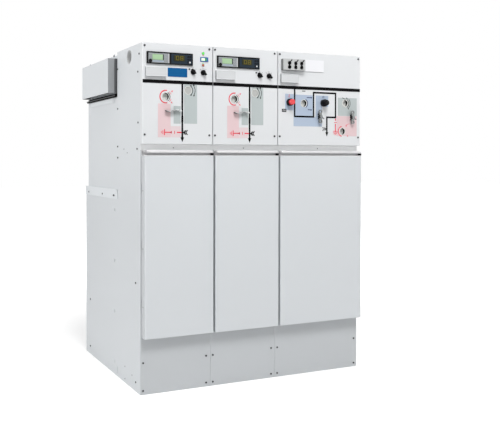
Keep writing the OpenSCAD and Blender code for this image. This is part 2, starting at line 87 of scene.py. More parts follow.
class FinishSettings(bpy.types.PropertyGroup):
    """Colours and surface of the painted sheet metal"""
    wall_colour: bpy.props.FloatVectorProperty(
        name="Wall paint", description="Paint of walls, covers and plinth",
        subtype="COLOR", size=3, min=0, max=1, default=(0.665, 0.691, 0.712))
    board_colour: bpy.props.FloatVectorProperty(
        name="Board paint", description="Paint of the operating boards",
        subtype="COLOR", size=3, min=0, max=1, default=(0.712, 0.727, 0.741))
    peel_size: bpy.props.FloatProperty(
        name="Paint texture", description="Size of the ripples in the powder coat",
        subtype="DISTANCE", unit="LENGTH", default=0.0016, min=0.0005, max=0.01)
    edge_radius: bpy.props.FloatProperty(
        name="Edge radius", description="Rounding of the sheet edges",
        subtype="DISTANCE", unit="LENGTH", default=0.0007, min=0.0001, max=0.003)


class DiagramSettings(bpy.types.PropertyGroup):
    """Sizes and colours of the mimic diagram"""
    line_colour: bpy.props.FloatVectorProperty(
        name="Line colour", description="Colour of the bus and feeder lines",
        subtype="COLOR", size=3, min=0, max=1, default=(0.002, 0.002, 0.0025))
    earth_colour: bpy.props.FloatVectorProperty(
        name="Earthing colour", description="Colour of the earthing symbols",
        subtype="COLOR", size=3, min=0, max=1, default=(0.78, 0.05, 0.08))
    pink_colour: bpy.props.FloatVectorProperty(
        name="Earthing field", description="Tint behind the earthing switch",
        subtype="COLOR", size=3, min=0, max=1, default=(0.74, 0.56, 0.575))
    grey_colour: bpy.props.FloatVectorProperty(
        name="Switch field", description="Tint behind the load-break switch",
        subtype="COLOR", size=3, min=0, max=1, default=(0.468, 0.516, 0.516))
    blue_colour: bpy.props.FloatVectorProperty(
        name="Breaker field", description="Tint behind the circuit-breaker drive",
        subtype="COLOR", size=3, min=0, max=1, default=(0.42, 0.50, 0.62))
    bus_width: bpy.props.FloatProperty(
        name="Bus line", description="Width of the bus line", subtype="DISTANCE",
        unit="LENGTH", default=0.0135, min=0.004, max=0.03)
    line_width: bpy.props.FloatProperty(
        name="Feeder line", description="Width of the feeder lines", subtype="DISTANCE",
        unit="LENGTH", default=0.0076, min=0.002, max=0.02)
    film: bpy.props.FloatProperty(
        name="Film thickness", description="Thickness of one printed layer",
        subtype="DISTANCE", unit="LENGTH", default=0.0003, min=0.0001, max=0.001)


class StudioSettings(bpy.types.PropertyGroup):
    """Camera and light of the studio"""
    camera_place: bpy.props.FloatVectorProperty(
        name="Camera", description="Place of the camera", subtype="TRANSLATION",
        unit="LENGTH", size=3, default=(-1.557, -3.034, 0.941))
    camera_yaw: bpy.props.FloatProperty(
        name="Yaw", description="Turn of the camera to the right", subtype="ANGLE",
        unit="ROTATION", default=math.radians(22.99))
    camera_tilt: bpy.props.FloatProperty(
        name="Tilt", description="How far the camera looks down", subtype="ANGLE",
        unit="ROTATION", default=math.radians(0.61))
    lens: bpy.props.FloatProperty(
        name="Lens", description="Focal length", default=51.93, min=20, max=200)
    lens_shift: bpy.props.FloatVectorProperty(
        name="Shift", description="Sideways and upward shift of the lens", size=2,
        default=(0.173, -0.100))
    sky_strength: bpy.props.FloatProperty(
        name="Sky", description="Strength of the even light from all round",
        default=0.31, min=0, max=2)
    key_power: bpy.props.FloatProperty(
        name="Key light", description="Power of the large lamp at the front left",
        default=172.0, min=0, max=2000, unit="POWER")
    fill_power: bpy.props.FloatProperty(
        name="Fill light", description="Power of the lamp at the front right",
        default=30.0, min=0, max=2000, unit="POWER")
    side_power: bpy.props.FloatProperty(
        name="Side light", description="Power of the lamp at the left",
        default=130.0, min=0, max=2000, unit="POWER")
    back_power: bpy.props.FloatProperty(
        name="Back light", description="Power of the lamp at the back right",
        default=110.0, min=0, max=2000, unit="POWER")


def finish_settings():
    return bpy.context.scene.switchgear_finish


def diagram():
    return bpy.context.scene.switchgear_diagram


def studio():
    return bpy.context.scene.switchgear_studio


# Places taken from the frame

def feeder_left(feeder):
    """Left edge of a feeder, in metres."""
    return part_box(f"recess_strip_{feeder}")[0].x


def feeder_width(feeder):
    """Width of a feeder, in mm."""
    low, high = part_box(f"recess_strip_{feeder}")
    return (high.x - low.x) / MM


def board_face():
    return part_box("operating_board_2")[0].y


def board_top():
    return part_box("operating_board_2")[1].z


def plinth_face():
    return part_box("plinth_panel_1")[0].y


def on_board(feeder, x, drop, out=0.0):
    """Point on a board: x from the feeder's left edge, drop below the top, out towards the viewer, in mm."""
    return Vector((feeder_left(feeder) + x * MM, board_face() - out * MM, board_top() - drop * MM))


# Modelling helpers: the piece that each returns has its place in its mesh

def mode(name):
    bpy.ops.object.mode_set(mode=name)


def deselect():
    if bpy.context.object and bpy.context.object.mode != "OBJECT":
        mode("OBJECT")
    bpy.ops.object.select_all(action="DESELECT")


def pick(*pieces):
    """Selects these pieces alone and makes the first one active."""
    deselect()
    for piece in pieces:
        piece.select_set(True)
    bpy.context.view_layer.objects.active = pieces[0]


def settle():
    """Writes the place and turn of the active object into its mesh."""
    bpy.ops.object.transform_apply(location=True, rotation=True, scale=True)
    return bpy.context.object


def modify(piece, kind, **settings):
    """Adds a modifier to the active piece, sets it and applies it."""
    made = piece.modifiers.new(kind.lower(), kind)
    for key, value in settings.items():
        setattr(made, key, value)
    bpy.ops.object.modifier_apply(modifier=made.name)


def block(low, high):
    """Closed block between two corners."""
    deselect()
    low, high = Vector(low), Vector(high)
    bpy.ops.mesh.primitive_cube_add(size=1, location=(low + high) / 2, scale=high - low)
    return settle()


def plate(feeder, x0, top, x1, bottom, out, thick):
    """Plate on a board, from x0 to x1 and from top to bottom drop, standing out by out mm."""
    return block(on_board(feeder, x0, bottom, out), on_board(feeder, x1, top, out - thick))


def panel(feeder, box, out, thick, edge, segments=2):
    """Plate with rounded edges; box is left, top, right and bottom."""
    return soften(plate(feeder, *box, out, thick), edge * MM, segments)


def stub(place, radius, length, sides=32, axis="Y"):
    """Round stub that starts at place and runs along +axis."""
    deselect()
    turn, step = {"X": ((0, math.pi / 2, 0), (length / 2, 0, 0)),
                  "Y": ((math.pi / 2, 0, 0), (0, length / 2, 0))}[axis]
    bpy.ops.mesh.primitive_cylinder_add(
        vertices=sides, radius=radius, depth=length, location=Vector(place) + Vector(step), rotation=turn)
    return settle()


def disc(feeder, x, drop, out, radius, length, edge, segments=2):
    """Round cap on a board with rounded edges, in mm."""
    return soften(stub(on_board(feeder, x, drop, out), radius * MM, length * MM), edge * MM, segments)


def choose(piece, test):
    """Goes to edit mode with only those faces selected whose middle and normal pass the test."""
    pick(piece)
    mode("EDIT")
    bpy.ops.mesh.select_mode(type="FACE")
    bpy.ops.mesh.select_all(action="DESELECT")
    mode("OBJECT")
    for face in piece.data.polygons:
        face.select = test(face.center, face.normal)
    mode("EDIT")


def inset_face(piece, rim, depth, out=Vector((0, -1, 0))):
    """Insets the outermost face on one side and pushes it in (depth above 0) or out."""
    far = max(v.co.dot(out) for v in piece.data.vertices)
    choose(piece, lambda c, n: n.dot(out) > 0.9 and c.dot(out) > far - 1e-5)
    bpy.ops.mesh.inset(thickness=rim, depth=0)
    bpy.ops.transform.translate(value=-depth * out)
    mode("OBJECT")
    return piece


def join(pieces):
    """Joins pieces into one object."""
    pick(*pieces)
    if len(pieces) > 1:
        bpy.ops.object.join()
    return settle()


def copies(piece, shifts):
    """Joins copies of a piece, one at each shift, and removes the piece."""
    made = []
    for shift in shifts:
        twin = piece.copy()
        twin.data = piece.data.copy()
        twin.data.transform(Matrix.Translation(shift))
        bpy.context.collection.objects.link(twin)
        made.append(twin)
    bpy.data.objects.remove(piece)
    return join(made)


def soften(piece, width, segments=2, angle=math.radians(35)):
    """Rounds the sharp edges and smooths the shading."""
    pick(piece)
    modify(piece, "BEVEL", width=width, segments=segments, limit_method="ANGLE", angle_limit=angle,
           use_clamp_overlap=True)
    bpy.ops.object.shade_smooth_by_angle(angle=angle)
    modify(piece, "WEIGHTED_NORMAL", keep_sharp=True)
    return piece


def cut(piece, cutter):
    """Takes the cutter's shape out of a piece and removes the cutter."""
    pick(piece)
    modify(piece, "BOOLEAN", operation="DIFFERENCE", object=cutter)
    bpy.data.objects.remove(cutter)
    return piece


def pierce(piece, feeder, place, radius, depth=0.01):
    """Cuts a round hole from front to back at a place of a board; radius in mm."""
    start = on_board(feeder, *place) - Vector((0, depth / 2, 0))
    return cut(piece, stub(start, radius * MM, depth, 48))


def split(piece, place, normal):
    """Cuts the faces of a piece along a plane without opening it."""
    choose(piece, lambda c, n: True)
    bpy.ops.mesh.bisect(plane_co=place, plane_no=normal)
    mode("OBJECT")
    return piece


def tint(piece, material, test):
    """Gives a second material to the faces that pass the test on their middle and normal."""
    piece.data.materials.append(material)
    last = len(piece.data.materials) - 1
    for face in piece.data.polygons:
        if test(face.center, face.normal):
            face.material_index = last
    return piece


def give(piece, name, material, body=BODY, replaces=()):
    """Names a finished piece and gives it its material and its body."""
    piece.name = piece.data.name = name
    piece.data.materials.clear()
    piece.data.materials.append(material)
    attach(piece, body)
    if replaces:
        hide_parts(*replaces)
    return piece


def dress(node, material, edge=None):
    """Stands a merged copy with rounded edges in the place of a CAD node."""
    name = node + "_sheet"
    piece = bpy.data.objects.new(name, frame["nodes"][node].data.copy())
    bpy.context.collection.objects.link(piece)
    pick(piece)
    mode("EDIT")
    bpy.ops.mesh.select_all(action="SELECT")
    bpy.ops.mesh.remove_doubles(threshold=1e-5)
    bpy.ops.mesh.dissolve_limited(angle_limit=math.radians(0.5))
    mode("OBJECT")
    soften(piece, edge or finish_settings().edge_radius)
    paint_node(node, material)
    return give(piece, name, material, BODIES[node], (node,))


def paint_node(node, material):
    """Gives a CAD node its material; its mesh and place stay as they are."""
    source = frame["nodes"][node]
    if not source.material_slots:
        source.data.materials.append(material)
    for slot in source.material_slots:
        slot.material = material


# Shader node groups

def new_group(name, inputs, outputs):
    """Empty node group with its sockets, and its input and output nodes."""
    group = bpy.data.node_groups.new(name, "ShaderNodeTree")
    for label, kind, value in inputs:
        socket = group.interface.new_socket(name=label, in_out="INPUT", socket_type="NodeSocket" + kind)
        socket.default_value = value
    for label, kind in outputs:
        group.interface.new_socket(name=label, in_out="OUTPUT", socket_type="NodeSocket" + kind)
    return group, group.nodes.new("NodeGroupInput"), group.nodes.new("NodeGroupOutput")


def feed(tree, node, inputs):
    """Fills inputs of a node with values or links."""
    for socket, value in inputs.items():
        if isinstance(value, bpy.types.NodeSocket):
            tree.links.new(value, node.inputs[socket])
        else:
            node.inputs[socket].default_value = value


def add(tree, kind, inputs=None, **settings):
    """Adds a node, sets its options and fills its inputs."""
    made = tree.nodes.new("ShaderNode" + kind)
    for key, value in settings.items():
        setattr(made, key, value)
    feed(tree, made, inputs or {})
    return made


def calc(tree, operation, a, b):
    """Result of a Math node."""
    return add(tree, "Math", {0: a, 1: b}, operation=operation).outputs[0]


def tone_group():
    """Paint colour that drifts a little over a sheet, with the roughness that goes with it."""
    if made := bpy.data.node_groups.get("Paint tone"):
        return made
    tree, given, put = new_group(
        "Paint tone",
        [("Colour", "Color", (0.7, 0.7, 0.7, 1)), ("Drift", "Float", 0.03),
         ("Speck", "Float", 0.02), ("Roughness", "Float", 0.4)],
        [("Colour", "Color"), ("Roughness", "Float")])
    place = add(tree, "TexCoord").outputs["Object"]
    cloud = add(tree, "TexNoise", {"Vector": place, "Scale": 2.3, "Detail": 3.0, "Roughness": 0.5})
    speck = add(tree, "TexNoise", {"Vector": place, "Scale": 750.0, "Detail": 1.0})
    wide = calc(tree, "SUBTRACT", cloud.outputs["Fac"], 0.5)
    wide = calc(tree, "MULTIPLY", wide, given.outputs["Drift"])
    fine = calc(tree, "SUBTRACT", speck.outputs["Fac"], 0.5)
    fine = calc(tree, "MULTIPLY", fine, given.outputs["Speck"])
    factor = calc(tree, "ADD", calc(tree, "ADD", wide, fine), 1.0)
    scaled = add(tree, "VectorMath", {0: given.outputs["Colour"], "Scale": factor}, operation="SCALE")
    rough = calc(tree, "ADD", calc(tree, "MULTIPLY", wide, 2.0), given.outputs["Roughness"])
    feed(tree, put, {"Colour": scaled.outputs[0], "Roughness": rough})
    return tree


def ripple_group():
    """Fine ripples of a powder coat or the grain of a moulding, as a height."""
    if made := bpy.data.node_groups.get("Surface ripple"):
        return made
    tree, given, put = new_group(
        "Surface ripple", [("Size", "Float", 0.0016), ("Stretch", "Vector", (1, 1, 1))],
        [("Height", "Float")])
    place = add(tree, "TexCoord").outputs["Object"]
    drawn = add(tree, "VectorMath", {0: place, 1: given.outputs["Stretch"]}, operation="MULTIPLY")
    scale = calc(tree, "DIVIDE", 1.0, given.outputs["Size"])
    soft = add(tree, "TexNoise", {"Vector": drawn.outputs[0], "Scale": scale, "Detail": 1.5})
    feed(tree, put, {"Height": soft.outputs["Fac"]})
    return tree


def spangle_group():
    """Crystal pattern of hot-dip zinc: a grey tone that changes from cell to cell."""
    if made := bpy.data.node_groups.get("Zinc spangle"):
        return made
    tree, given, put = new_group(
        "Zinc spangle", [("Colour", "Color", (0.6, 0.6, 0.6, 1)), ("Size", "Float", 0.012)],
        [("Colour", "Color"), ("Roughness", "Float")])
    place = add(tree, "TexCoord").outputs["Object"]
    cells = add(tree, "TexVoronoi", {"Vector": place, "Scale": calc(tree, "DIVIDE", 1.0, given.outputs["Size"])})
    grey = add(tree, "RGBToBW", {"Color": cells.outputs["Color"]}).outputs[0]
    level = add(tree, "MapRange", {"Value": grey, "To Min": 0.82, "To Max": 1.12})
    scaled = add(tree, "VectorMath", {0: given.outputs["Colour"], "Scale": level.outputs[0]}, operation="SCALE")
    rough = add(tree, "MapRange", {"Value": grey, "To Min": 0.38, "To Max": 0.58})
    feed(tree, put, {"Colour": scaled.outputs[0], "Roughness": rough.outputs[0]})
    return tree


def new_material(name):
    """New material, its node tree and its shader."""
    material = bpy.data.materials.new(name)
    material.use_nodes = True
    return material, material.node_tree, material.node_tree.nodes["Principled BSDF"]


def finish(name, colour, roughness=0.4, drift=0.03, speck=0.02, metallic=0.0, coat=0.0,
           ripple=0.0008, height=0.12, stretch=(1, 1, 1), glow=0.0, specular=0.5):
    """Material of one finish: toned colour, its roughness and a rippled surface."""
    if made := bpy.data.materials.get(name):
        return made
    material, tree, shader = new_material(name)
    tone = add(tree, "Group", {"Colour": (*colour, 1), "Drift": drift, "Speck": speck, "Roughness": roughness},
               node_tree=tone_group())
    surface = add(tree, "Group", {"Size": ripple, "Stretch": stretch}, node_tree=ripple_group())
    bump = add(tree, "Bump", {"Height": surface.outputs["Height"], "Strength": height, "Distance": 0.0004})
    feed(tree, shader, {
        "Base Color": tone.outputs["Colour"], "Roughness": tone.outputs["Roughness"],
        "Normal": bump.outputs["Normal"], "Metallic": metallic, "Coat Weight": coat,
        "Coat Roughness": 0.12, "Specular IOR Level": specular})
    if glow:
        feed(tree, shader, {"Emission Color": tone.outputs["Colour"], "Emission Strength": glow})
    return material


def shaded(colour, factor, most=1.0):
    """Lighter or darker shade of a colour."""
    return [min(v * factor, most) for v in colour]


def wall_paint():
    f = finish_settings()
    return finish("Wall powder coat", f.wall_colour, 0.42, ripple=f.peel_size, coat=0.05)


# Wall paint darkened on the plinth panels, standing in for the shade low down under the covers: painted shade
def plinth_shade_paint():
    f = finish_settings()
    return finish("Plinth coat darkened for shade", shaded(f.wall_colour, 0.83), 0.42, ripple=f.peel_size)


def rail_paint():
    return finish("Rail coat", shaded(finish_settings().wall_colour, 1.10), 0.42)


def board_paint():
    f = finish_settings()
    return finish("Board powder coat", f.board_colour, 0.40, drift=0.02, ripple=f.peel_size, coat=0.08)


# Board paint lightened to cancel the shade that the boards cast on the recessed strips: painted light
def lightened_strip_paint():
    f = finish_settings()
    return finish("Strip coat lightened against shade", shaded(f.board_colour, 1.31, 0.94), 0.5, ripple=f.peel_size)


def ink(name, colour):
    """Printed layer of the diagram."""
    return finish("Print " + name, colour, 0.45, drift=0.03, speck=0.05, ripple=0.0005, height=0.06,
                  specular=0.06 if max(colour) < 0.02 else 0.35)


def line_black():
    return ink("line black", diagram().line_colour)


def earthing_red():
    return ink("earthing red", diagram().earth_colour)


def black_plastic():
    return finish("Black moulding", (0.007, 0.007, 0.008), 0.42, drift=0.15, ripple=0.0004, height=0.2,
                  specular=0.12)


def dark_bore():
    return finish("Dark bore", (0.004, 0.004, 0.004), 0.7, drift=0.1, height=0.1, specular=0.05)


def steel(name="Plated steel", colour=(0.55, 0.55, 0.56), roughness=0.22):
    return finish(name, colour, roughness, drift=0.08, metallic=1.0, ripple=0.0006,
                  stretch=(1, 1, 0.15), height=0.05)


def screw_steel():
    return steel("Screw steel", (0.075, 0.075, 0.080), 0.4)


def soft_steel():
    return steel("Soft steel", (0.32, 0.33, 0.34), 0.35)


def zinc():
    """Hot-dip zinc of the floor frame."""
    if made := bpy.data.materials.get("Zinc sheet"):
        return made
    material, tree, shader = new_material("Zinc sheet")
    pattern = add(tree, "Group", {"Colour": (0.60, 0.61, 0.62, 1)}, node_tree=spangle_group())
    feed(tree, shader, {"Base Color": pattern.outputs["Colour"], "Roughness": pattern.outputs["Roughness"],
                        "Metallic": 0.75})
    return material


# The stage

class SWITCHGEAR_OT_stage(bpy.types.Operator):
    """Sets the camera, the floor, the lamps and the world"""
    bl_idname = "switchgear.stage"
    bl_label = "Stage"

    def execute(self, context):
        settings = studio()
        self.camera(context, settings)
        self.floor()
        self.world(context, settings)
        self.lamp(context, "Key", (-0.6, -3.2, 4.6), 2.0, settings.key_power)
        self.lamp(context, "Fill", (4.2, -4.2, 1.9), 2.4, settings.fill_power)
        self.lamp(context, "Side", (-5.4, -0.4, 2.6), 2.6, settings.side_power)
        self.lamp(context, "Back", (3.2, 4.6, 3.0), 2.6, settings.back_power)
        context.scene.view_settings.view_transform = "Standard"
        return {"FINISHED"}

    def camera(self, context, settings):
        data = bpy.data.cameras.new("Camera")
        data.sensor_width = 36
        data.lens = settings.lens
        data.shift_x, data.shift_y = settings.lens_shift
        data.clip_end = 60
        item = bpy.data.objects.new("Camera", data)
        item.location = settings.camera_place
        item.rotation_euler = (math.pi / 2 - settings.camera_tilt, 0, -settings.camera_yaw)
        context.scene.collection.objects.link(item)
        context.scene.camera = item

    def floor(self):
        deselect()
        bpy.ops.mesh.primitive_plane_add(size=40, location=(0, 0, 0))
        piece = settle()
        piece.name = piece.data.name = "Studio_floor"
        material, tree, shader = new_material("Studio floor")
        tree.nodes.remove(shader)
        dull = add(tree, "BsdfDiffuse", {"Color": (0.74, 0.74, 0.74, 1)})
        ray = add(tree, "LightPath")
        place = add(tree, "TexCoord").outputs["Object"]
        reach = add(tree, "VectorMath", {0: place}, operation="LENGTH")
        lift = add(tree, "MapRange", {"Value": reach.outputs["Value"], "From Min": 0.9, "From Max": 2.4,
                                      "To Min": 0.37, "To Max": 1.0})
        lift = calc(tree, "MULTIPLY", ray.outputs["Is Camera Ray"], lift.outputs[0])
        glow = add(tree, "Emission", {"Color": (1, 1, 1, 1), "Strength": lift})
        both = add(tree, "AddShader", {0: dull.outputs[0], 1: glow.outputs[0]})
        feed(tree, tree.nodes["Material Output"], {"Surface": both.outputs[0]})
        piece.data.materials.append(material)

    def world(self, context, settings):
        world = bpy.data.worlds.new("Studio")
        context.scene.world = world
        world.use_nodes = True
        tree = world.node_tree
        ray = add(tree, "LightPath")
        seen = calc(tree, "MAXIMUM", ray.outputs["Is Camera Ray"], ray.outputs["Is Glossy Ray"])
        seen = calc(tree, "MAXIMUM", seen, ray.outputs["Is Transmission Ray"])
        level = add(tree, "MapRange", {"Value": seen, "To Min": settings.sky_strength, "To Max": 1.0})
        feed(tree, tree.nodes["Background"], {"Color": (1, 1, 1, 1), "Strength": level.outputs[0]})

    def lamp(self, context, name, place, size, power):
        data = bpy.data.lights.new(name, "AREA")
        data.shape = "DISK"
        data.size = size
        data.energy = power
        item = bpy.data.objects.new(name, data)
        item.location = place
        aim = Vector((0.0, -0.2, 0.75)) - Vector(place)
        item.rotation_euler = aim.to_track_quat("-Z", "Y").to_euler()
        context.scene.collection.objects.link(item)


# The sheet-metal body

class SWITCHGEAR_OT_housing(bpy.types.Operator):
    """Finishes the side walls, posts, rear wall, roof, plinth and base"""
    bl_idname = "switchgear.housing"
    bl_label = "Housing"

    def execute(self, context):
        for node in ("side_wall_left", "side_wall_right", "frame_post_1", "frame_post_2",
                     "rear_wall", "roof_cover"):
            dress(node, wall_paint())
        for feeder in FEEDERS:
            # The plinth panels take the darkened wall paint: painted shade
            dress(f"plinth_panel_{feeder}", plinth_shade_paint())
        for node in ("base_frame", "floor_plates"):
            paint_node(node, zinc())
        self.collars()
        return {"FINISHED"}

    def collars(self):
        """Rolled collar inside each lifting hole"""
        y, drop = LIFT_HOLE
        behind, deep = 1.8 * MM, 22 * MM
        for side in ("left", "right"):
            low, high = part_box(f"side_wall_{side}")
            x = low.x + behind if side == "left" else high.x - behind - deep
            place = Vector((x, plinth_face() + y * MM, high.z - drop * MM))
            collar = stub(place, 30.5 * MM, deep, 64, "X")
            cut(collar, stub(place - Vector((10 * MM, 0, 0)), 28 * MM, 40 * MM, 64, "X"))
            # The collar takes the lightened strip paint so that the shaded inside of the hole shows pale: painted
            # light
            give(soften(collar, 0.5 * MM), f"Lift_collar_{side}", lightened_strip_paint())


class SWITCHGEAR_OT_tank(bpy.types.Operator):
    """Finishes the gas tank, its cross rails and the box at its side"""
    bl_idname = "switchgear.tank"
    bl_label = "Gas tank and side box"

    def execute(self, context):
        dress("gas_tank", wall_paint())
        for node in ("cross_rail_left", "cross_rail_right"):
            dress(node, rail_paint())
        # The front-facing faces of the side box get a darker grey: painted shade
        flank = finish("Box front painted shade", (0.265, 0.275, 0.285), 0.5)
        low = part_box("gas_tank")[0]
        bare = block((low.x - 0.8 * MM, -0.017, 1.190), (low.x + 0.2 * MM, 0.300, 1.207))
        give(soften(bare, 0.3 * MM), "Bare_tank_plate", rail_paint())
        # Near-black on the undersides of the box and on the channel below it: painted shade under the box
        under = finish("Painted shade black", (0.002, 0.002, 0.002), 0.6, specular=0.02)
        box = tint(dress("connection_box", wall_paint()), flank, lambda c, n: n.y < -0.9)
        tint(box, under, lambda c, n: n.z < -0.9)
        # A dark strip on the front of the box next to the wall: partly a seal, partly painted contact shade
        low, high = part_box("connection_box")
        seal = block((low.x + 29 * MM, low.y - 1.2 * MM, low.z + MM),
                     (high.x - 0.5 * MM, low.y + 0.2 * MM, high.z - 2 * MM))
        give(soften(seal, 0.4 * MM), "Box_seal_and_contact_shade", finish("Seal grey and contact shade", (0.075, 0.078, 0.082), 0.6))
        self.lugs()
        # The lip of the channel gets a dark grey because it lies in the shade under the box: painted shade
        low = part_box("box_channel")[0]
        tint(dress("box_channel", under), finish("Channel lip painted shade", (0.085, 0.087, 0.09), 0.5),
             lambda c, n: n.x < -0.9 and low.z + 3.5 * MM < c.z < low.z + 9 * MM)
        return {"FINISHED"}

    def lugs(self):
        """Bolt heads on the lugs that stand above the tank"""
        low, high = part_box("gas_tank")
        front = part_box("connection_box")[0].y
        for side, x, facing in (("left", low.x, "-X"), ("right", high.x, "X")):
            places = [Vector((x, front + y * MM, high.z - 9 * MM)) for y in (38, 388)]
            screws(f"Lug_bolts_{side}", places, 5.2, 2.2, facing)


class SWITCHGEAR_OT_boards(bpy.types.Operator):
    """Finishes the operating boards and the recessed strips under them"""
    bl_idname = "switchgear.boards"
    bl_label = "Operating boards"

    def execute(self, context):
        for feeder in FEEDERS:
            dress(f"operating_board_{feeder}", board_paint())
            # The strips get the board paint lightened against their shade: painted light
            dress(f"recess_strip_{feeder}", lightened_strip_paint())
        # Left and under faces of the label pockets get a darker grey: painted shade
        flank = finish("Pocket flank painted shade", (0.38, 0.39, 0.40), 0.5)
        tint(dress("label_holders", board_paint()), flank, lambda c, n: n.x < -0.9 or n.z < -0.9)
        return {"FINISHED"}


class SWITCHGEAR_OT_covers(bpy.types.Operator):
    """Finishes the cable covers with their grips and the rivets of their hooks"""
    bl_idname = "switchgear.covers"
    bl_label = "Cable covers"

    def execute(self, context):
        lip = finish("Pale grip profile", (0.80, 0.80, 0.81), 0.30, metallic=0.15,
                     stretch=(0.02, 1, 1), ripple=0.0008, height=0.08)
        # Wall paint darkened on the left flanks of the covers: painted shade
        cover_flank_shade = finish("Cover flank painted shade", shaded(finish_settings().wall_colour, 0.84), 0.5)
        recess = finish("Grip recess painted shade", (0.58, 0.58, 0.59), 0.5, stretch=(0.02, 1, 1), height=0.08)
        for feeder in FEEDERS:
            tint(dress(f"cable_cover_{feeder}", wall_paint()), cover_flank_shade, lambda c, n: n.x < -0.9)
            grip = dress(f"grip_profile_{feeder}", lip, edge=0.0004)
            low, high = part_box(f"grip_profile_{feeder}")
            # The lower part of the grip's slanted lip and the inside of its recess get a darker grey: painted shade
            split(grip, (0, 0, high.z - 4.6 * MM), (0, 0, 1))
            tint(grip, recess, lambda c, n: c.y < low.y + 14 * MM and low.z + 2.7 * MM < c.z < high.z - 4.7 * MM)
            caps = dress(f"grip_cap_{feeder}", black_plastic())
            tint(caps, steel(), lambda c, n: c.x < low.x + 20 * MM)
            self.rivets(feeder)
        return {"FINISHED"}

    def rivets(self, feeder):
        """Rivets on both flanks of a cover, where its hooks are fixed"""
        low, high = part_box(f"cable_cover_{feeder}")
        for side, x, facing in (("left", low.x, "-X"), ("right", high.x, "X")):
            places = [Vector((x, low.y + 20 * MM, z)) for z in (0.354, 0.585, 0.815)]
            screws(f"Flank_rivets_{side}_{feeder}", places, 2.6, 1.2, facing, soft_steel(), f"cover_{feeder}")


# The printed diagram

def layer_out(layer):
    """How far a printed layer stands out from the board, in mm."""
    return layer * diagram().film / MM


def film(feeder, x0, top, x1, bottom, layer=1):
    """Rectangle of a printed layer."""
    out = layer_out(layer)
    return panel(feeder, (x0, top, x1, bottom), out, out + PRINT_SUNK, PRINT_EDGE, 1)


def bar(feeder, x0, drop0, x1, drop1, width, layer=2, grow=0.0):
    """Straight stroke between two points of a board, in mm."""
    deselect()
    out = layer_out(layer)
    a, b = on_board(feeder, x0, drop0), on_board(feeder, x1, drop1)
    run = b - a
    middle = (a + b) / 2
    middle.y = board_face() - (out - PRINT_SUNK) / 2 * MM
    bpy.ops.mesh.primitive_cube_add(
        size=1, location=middle, rotation=(0, -math.atan2(run.z, run.x), 0),
        scale=(run.length + 2 * grow * MM, (out + PRINT_SUNK) * MM, width * MM))
    return soften(settle(), PRINT_EDGE * MM, 1)


def stroke(feeder, points, width):
    """Line through several points of a board, with square corners."""
    return join([bar(feeder, *a, *b, width, grow=width / 2) for a, b in zip(points, points[1:])])


def arc(feeder, centre, radius, width, start=0, sweep=360, out=None, deep=PRINT_SUNK):
    """Curved stroke round a point of a board; angles in degrees, anticlockwise from the right."""
    deselect()
    out = layer_out(2) if out is None else out
    middle = on_board(feeder, *centre, (out - deep) / 2)
    turn = math.radians(start)
    spot = middle + Vector((math.cos(turn), 0, math.sin(turn))) * radius * MM
    bpy.ops.mesh.primitive_plane_add(size=1, location=spot, rotation=(0, -turn, 0))
    bpy.context.object.scale = (width * MM, (out + deep) * MM, 1)
    piece = settle()
    mode("EDIT")
    bpy.ops.mesh.select_all(action="SELECT")
    bpy.ops.mesh.spin(steps=max(6, int(abs(sweep) / 7.5)), angle=math.radians(sweep),
                      center=middle, axis=(0, 1, 0))
    bpy.ops.mesh.select_all(action="SELECT")
    bpy.ops.mesh.remove_doubles(threshold=1e-6)
    bpy.ops.mesh.normals_make_consistent(inside=False)
    mode("OBJECT")
    bpy.ops.object.shade_smooth_by_angle(angle=math.radians(35))
    return piece


def point(feeder, x, drop, length, width, direction):
    """Arrow head whose middle lies at a point of a board; direction in degrees."""
    deselect()
    out = layer_out(2)
    middle = on_board(feeder, x, drop, (out - PRINT_SUNK) / 2)
    turn = math.radians(direction - 90)
    bpy.ops.mesh.primitive_cylinder_add(
        vertices=3, radius=1, depth=1, location=middle, rotation=(math.pi / 2, -turn, 0),
        scale=(width * MM / math.sqrt(3), length * MM / 1.5, (out + PRINT_SUNK) * MM))
    return settle()


def printed(pieces, name, material):
    """Joins strokes and films into one printed piece."""
    return give(join(pieces), name, material)


def draw(feeder, name, material, *strokes):
    """Prints one sign; a stroke names its kind (bar, point, arc or film) and gives its numbers."""
    return printed([kind(feeder, *numbers) for kind, *numbers in strokes], name, material)


class SWITCHGEAR_OT_lines(bpy.types.Operator):
    """Prints the bus line and the feeder lines of the diagram"""
    bl_idname = "switchgear.lines"
    bl_label = "Bus and feeder lines"

    def execute(self, context):
        bus, line = diagram().bus_width / MM, diagram().line_width / MM
        x = FEEDER_LINE_X
        for feeder in FEEDERS:
            left = 1 if feeder == 1 else 1.7
            right = feeder_width(feeder) - (1 if feeder == 3 else 1.7)
            pieces = [film(feeder, left, BUS_DROP - bus / 2, right, BUS_DROP + bus / 2, 3)]
            if feeder in RING_FEEDERS:
                pieces += [bar(feeder, x, BUS_DROP, x, 374, line), point(feeder, x, 379, 19, 16, -90),
                           stub(on_board(feeder, x, 300, 0.9), 4.6 * MM, 1.2 * MM),
                           film(feeder, x - 4.6, 288, x + 4.6, 312, 2)]
            else:
                path = ((84, BUS_DROP), (84, 276), (181, 276), (181, 170), (297, 170), (297, 276),
                        (251, 276), (251, 344))
                pieces += [stroke(feeder, path, line - 0.3), point(feeder, 251, 348, 19, 15, -90)]
            printed(pieces, f"Diagram_lines_{feeder}", line_black())
        return {"FINISHED"}


